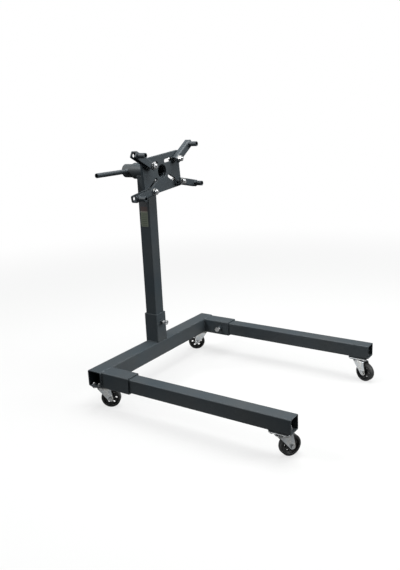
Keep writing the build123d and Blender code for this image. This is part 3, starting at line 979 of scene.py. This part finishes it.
def stampedFork(crownTop, trail, axleHeight):
    # one strip: up one cheek, over the crown and down the other cheek
    crown = crownTop - fork["sheet"] / 2
    half = fork["inside"] / 2 + fork["sheet"] / 2
    bend = fork["bend"]
    boss = fork["boss"]
    outline = [Vector((-fork["rootAhead"], crown)), Vector((fork["rootBehind"], crown))]
    for turn in fullTurn(72):
        outline.append(Vector((trail + boss * math.cos(turn), axleHeight + boss * math.sin(turn))))
    hull = [outline[i] for i in convex_hull_2d(outline)]

    def widthAt(height):
        crossings = []
        for a, b in zip(hull, hull[1:] + hull[:1]):
            if min(a.y, b.y) <= height <= max(a.y, b.y) and abs(a.y - b.y) > 1e-9:
                crossings.append(a.x + (b.x - a.x) * (height - a.y) / (b.y - a.y))
        return min(crossings), max(crossings)

    stations = []
    for i in range(9):
        height = axleHeight - boss * math.cos(math.radians(10 * i + 6))
        stations.append((half, height, *widthAt(height)))
    bendStart = crown - bend
    for i in range(1, 9):
        height = axleHeight + (bendStart - axleHeight) * i / 8
        stations.append((half, height, *widthAt(height)))
    for i in range(1, 6):
        turn = math.radians(18 * i)
        height = bendStart + bend * math.sin(turn)
        stations.append((half - bend + bend * math.cos(turn), height, *widthAt(height)))
    crownHalf = half - bend
    for i in range(1, 7):
        across = crownHalf * (1 - i / 6)
        disc = math.sqrt(fork["crown"] ** 2 - across ** 2)
        stations.append((across, crown, -max(fork["rootAhead"], disc), max(fork["rootBehind"], disc)))
    stations += [(-across, height, a, b) for across, height, a, b in reversed(stations[:-1])]
    bm = bmesh.new()
    columns = fork["columns"]
    rows = []
    for across, height, start, stop in stations:
        row = []
        for k in range(columns + 1):
            x = start + (stop - start) * k / columns
            fromAxle = math.hypot(x - trail, height - axleHeight)
            dish = fork["dish"] * max(0, 1 - fromAxle / (boss - 1)) ** 0.5 if height < bendStart else 0
            row.append(bm.verts.new((x, across + math.copysign(dish, across) * (height < bendStart), height)))
        rows.append(row)
    return thickened(bm, rows, fork["sheet"], fork["rim"])


def mouldedWheel(radius):
    # a spool: hub, thin web and rim, with round holes through the web
    web = wheel["web"] / 2
    hub = wheel["hubWidth"] / 2
    tread = wheel["width"] / 2
    upper = [
        (axle["radius"] + 0.2, hub, 0.4), (wheel["hub"] - 0.6, hub, 0.8), (wheel["hub"] + 0.8, web, 1.5),
        (wheel["rim"] - 1.5, web, 2.0), (wheel["rim"] + 0.5, tread, 1.0), (radius, tread, wheel["shoulder"]),
    ]
    lower = [(r, -h, cut) for r, h, cut in reversed(upper)]
    bm = bmesh.new()
    addTurned(bm, softCorners(upper + lower, 5), 96)
    middle = (wheel["hub"] + wheel["rim"]) / 2
    spots = [around(middle, turn)[:2] for turn in fullTurn(wheel["holes"])]
    return drillWith(bm, wheel["holeRadius"], spots, -hub, hub)


def topPlate(size, cupTop, plateTop, crownTop):
    # a pressed plate with a cup, and the ring of balls that the fork turns on
    bm = bmesh.new()
    addPlate(bm, roundedSquare(size.x, size.y, castor["plateCorner"]),
             [roundHole(castor["pinRadius"] - 0.3)], cupTop, plateTop, castor["plateRim"])
    cupBottom = cupTop - castor["cupDepth"]
    cupInside = castor["pinRadius"] + 0.5
    addTurned(bm, softCorners([
        (cupInside, cupTop + 0.2, 0), (castor["raceRadius"], cupTop + 0.2, 0),
        (castor["raceRadius"], cupBottom, 1.6), (cupInside, cupBottom, 0.4),
    ]), 56)
    arc = [math.radians(15 * k) for k in range(1, 12)]
    radius = castor["ballRadius"]
    ball = [(0, -radius)] + [(radius * math.sin(a), -radius * math.cos(a)) for a in arc] + [(0, radius)]
    for turn in fullTurn(castor["balls"]):
        addTurned(bm, ball, 16, False, around(castor["ballCircle"], turn, crownTop + radius))
    return bm


def kingpin(low, crownUnder, top):
    # its head is peened over under the crown
    radius, head = castor["pinRadius"], castor["pinHead"]
    side = softCorners([
        (head - 2, low, 0.8), (head, crownUnder - 1, 0.8), (head - 0.4, crownUnder - 0.4, 0),
        (radius, crownUnder - 0.4, 0), (radius, top, 0.3),
    ])
    bm = bmesh.new()
    addTurned(bm, [(0, low)] + [tuple(p) for p in side] + [(0, top)], 40, False)
    return bm


def axleBolt(grip):
    bm = bmesh.new()
    seat = grip + axle["washerHeight"]
    addWasher(bm, axle["washer"], axle["radius"], grip, seat)
    addHexagon(bm, axle["flats"], seat, seat + axle["head"])
    addTurned(bm, [(0, -grip), (axle["radius"], -grip), (axle["radius"], grip + 0.5), (0, grip + 0.5)],
              32, False)
    tail = bmesh.new()
    addThread(tail, axle["radius"], grip - 0.5, grip + axle["nut"] + axle["tail"], axle["pitch"])
    merge(bm, tail, upsideDown)
    return bm


def lockNut(grip):
    # a nut with a plain collar that grips the thread
    bm = bmesh.new()
    collarOut = -grip - axle["nut"]
    inside, outside = axle["radius"] + 0.1, axle["flats"] / 2 - 0.6
    addHexagon(bm, axle["flats"], collarOut + 1.4, -grip, axle["radius"], True)
    addTurned(bm, softCorners([
        (inside, collarOut, 0.3), (outside, collarOut, 0.9),
        (outside + 0.2, collarOut + 2, 0), (inside, collarOut + 2, 0),
    ]), 40)
    return bm


swivels = [name[:-len("_swivel")] for name in joints if name.endswith("_swivel")]
bolts = bmesh.new()
nuts = bmesh.new()
for corner in swivels:
    swivel = Vector(joints[f"{corner}_swivel"]["pos_m"])
    hub = Vector(joints[f"{corner}_roll"]["pos_m"])
    behind = hub - swivel
    behind.z = 0
    trail = behind.length / mm
    axleHeight = hub.z / mm
    crownTop = swivel.z / mm
    low, high, middle, size = boxSize(f"{corner}_plate")
    plateTop = high.z / mm
    cupTop = plateTop - castor["plateThickness"]
    grip = fork["inside"] / 2 + fork["sheet"]
    upright = Matrix.Translation((swivel.x, swivel.y, 0))
    onFloor = axes((swivel.x, swivel.y, 0), behind, (-behind.y, behind.x, 0))
    onAxle = axes(hub, behind, (0, 0, 1))
    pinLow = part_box(f"{corner}_kingpin")[0].z / mm
    pin = kingpin(pinLow, crownTop - fork["sheet"], plateTop - 0.4)
    onFork = f"{corner}_fork"
    makePiece(f"{corner}_plate", topPlate(size, cupTop, plateTop, crownTop), upright, pressing, "stand")
    makePiece(f"{corner}_kingpin", pin, upright, fastener, "stand")
    makePiece(onFork, stampedFork(crownTop, trail, axleHeight), onFloor, pressing, onFork)
    makePiece(f"{corner}_axle", axleBolt(grip), onAxle, fastener, onFork)
    makePiece(f"{corner}_axle_nut", lockNut(grip), onAxle, fastener, onFork)
    makePiece(f"{corner}_wheel", mouldedWheel(axleHeight), onAxle, castorPlastic, f"{corner}_wheel")

    # Four bolts come up through the plate, with washers and nuts on the tube's floor.
    holder, shape = ("crossbar", beam) if "rear" in corner else ("leg_left", tube)
    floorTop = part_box(holder)[0].z / mm + shape["wall"]
    seat = floorTop + castorBolt["washerHeight"]
    top = seat + castorBolt["nut"]
    shank, flats = castorBolt["shank"], castorBolt["flats"]
    pitchX, pitchY = castor["boltAlong"], castor["boltAcross"]
    if size.y > size.x:
        pitchX, pitchY = pitchY, pitchX
    for sx, sy in ((-0.5, -0.5), (-0.5, 0.5), (0.5, -0.5), (0.5, 0.5)):
        spot = (swivel.x / mm + sx * pitchX, swivel.y / mm + sy * pitchY, 0)
        head = bmesh.new()
        addHexagon(head, flats, -cupTop, castorBolt["head"] - cupTop)
        merge(bolts, head, Matrix.Translation(spot) @ upsideDown)
        addThread(bolts, shank, cupTop - 0.5, top + castorBolt["tail"], castorBolt["pitch"], spot, 20)
        addWasher(nuts, castorBolt["washer"], shank + 0.2, floorTop, seat, spot)
        addHexagon(nuts, flats, seat, top, shank, True, spot)
makePiece("castor_bolts", bolts, Matrix.Identity(4), fastener, "stand")
makePiece("castor_nuts", nuts, Matrix.Identity(4), fastener, "stand")

for hand in ("left", "right"):
    low, high, middle, size = boxSize(f"castor_pad_{hand}")
    bm = bmesh.new()
    addPlate(bm, roundedSquare(size.x, size.y, castor["plateCorner"]), [], 0, size.z, castor["plateRim"])
    makePiece(f"castor_pad_{hand}", bm, Matrix.Translation((middle.x, middle.y, low.z)), coat, "stand")
print("castors:", len(swivels), "with plates, forks, wheels and bolts")


# Studio

# The floor is pale to the eye. It is darker to the light that it throws back on the paint, except
# that shiny metal mirrors a pale patch under the stand.
studio = {
    "floorColour": "#d2d3d2", "floorUnder": "#c9c9c8", "floorAround": "#38393a",
    "underReach": (0.42, 0.7), "floorRoughness": 0.85, "floorSpecular": 0.15, "floorGlow": 0.7,
    "floorRadius": 14, "floorFade": (1.2, 3.6), "air": 0.05, "shine": 0.3, "backdrop": "#ffffff",
}
lamps = {
    "overhead": {"place": (0.35, -0.2, 2.9), "aim": (0.0, 0.0, 0.3), "size": (2.6, 2.2), "power": 122},
    "front": {"place": (1.3, -3.2, 1.7), "aim": (0.0, 0.0, 0.4), "size": (2.0, 1.6), "power": 86},
    "back": {"place": (-2.1, 2.3, 2.9), "aim": (0.0, 0.3, 0.7), "size": (1.1, 0.9), "power": 80},
}
cameraView = {
    "azimuth": -55.65, "elevation": 15.22, "roll": -2.64, "distance": 2.2242,
    "aim": (-0.0646, 0.0769, 0.419), "lens": 39.4, "sensor": 36,
}


def makeFloor():
    bm = bmesh.new()
    bmesh.ops.create_circle(bm, cap_ends=True, segments=96, radius=studio["floorRadius"])
    floor = asObject("studioFloor", asMesh("studioFloor", bm))
    finish, add, shader, place = newFinish("paleFloorPaper")
    out = add("VectorMath", {0: place}, operation="LENGTH")
    inner, outer = studio["underReach"]
    under = add("MapRange", {
        "Value": out, "From Min": inner, "From Max": outer, "To Min": 1.0, "To Max": 0.0,
    })
    path = add("LightPath", {})
    seen = path.outputs["Is Camera Ray"]
    mirrored = add("Math", {0: under, 1: path.outputs["Is Glossy Ray"]}, operation="MULTIPLY")
    bounced = add("Mix", {
        "Factor": mirrored, "A": fromHex(studio["floorAround"]), "B": fromHex(studio["floorUnder"]),
    }, data_type="RGBA")
    paper = add("Mix", {"Factor": seen, "A": bounced, "B": fromHex(studio["floorColour"])},
                    data_type="RGBA")
    feed(shader, {
        "Base Color": paper, "Roughness": studio["floorRoughness"],
        "Specular IOR Level": studio["floorSpecular"],
    })
    near, far = studio["floorFade"]
    fade = add("MapRange", {
        "Value": out, "From Min": near, "From Max": far, "To Min": studio["floorGlow"],
    }, interpolation_type="SMOOTHSTEP")
    share = add("Math", {0: fade, 1: seen}, operation="MULTIPLY")
    glow = add("Emission", {"Color": fromHex(studio["backdrop"])})
    mixed = add("MixShader", {0: share, 1: shader, 2: glow})
    feed(finish.node_tree.nodes["Material Output"], {"Surface": mixed})
    floor.data.materials.append(finish)


def lightStudio():
    air = bpy.data.worlds.new("studioAir")
    bpy.context.scene.world = air
    air.use_nodes = True
    tree = air.node_tree
    add = partial(addNode, tree)
    path = add("LightPath", {})
    lit = add("MapRange", {
        "Value": path.outputs["Is Glossy Ray"], "To Min": studio["air"], "To Max": studio["shine"],
    })
    strength = add("Mix", {"Factor": path.outputs["Is Camera Ray"], "A": lit, "B": 1.0})
    feed(tree.nodes["Background"], {"Color": fromHex(studio["backdrop"]), "Strength": strength})
    for name, lamp in lamps.items():
        light = bpy.data.lights.new(name + "Softbox", "AREA")
        light.shape = "RECTANGLE"
        light.size, light.size_y = lamp["size"]
        light.energy = lamp["power"]
        holder = asObject(name + "Softbox", light)
        holder.location = lamp["place"]
        towards = Vector(lamp["aim"]) - Vector(lamp["place"])
        holder.rotation_euler = towards.to_track_quat("-Z", "Y").to_euler()


def placeCamera():
    azimuth, elevation, roll = [math.radians(cameraView[key]) for key in ("azimuth", "elevation", "roll")]
    back = Vector((
        math.sin(azimuth) * math.cos(elevation), -math.cos(azimuth) * math.cos(elevation),
        math.sin(elevation),
    ))
    level = Vector((math.cos(azimuth), math.sin(azimuth), 0))
    right = level * math.cos(roll) + back.cross(level) * math.sin(roll)
    place = Vector(cameraView["aim"]) + back * cameraView["distance"]
    camera = bpy.data.cameras.new("studioCamera")
    camera.lens = cameraView["lens"]
    camera.sensor_width = cameraView["sensor"]
    holder = asObject("studioCamera", camera)
    holder.matrix_world = axes(place, right, back.cross(right))
    bpy.context.scene.camera = holder


makeFloor()
lightStudio()
placeCamera()
bpy.context.scene.view_settings.view_transform = "Standard"
print("studio: floor, lamps and camera")
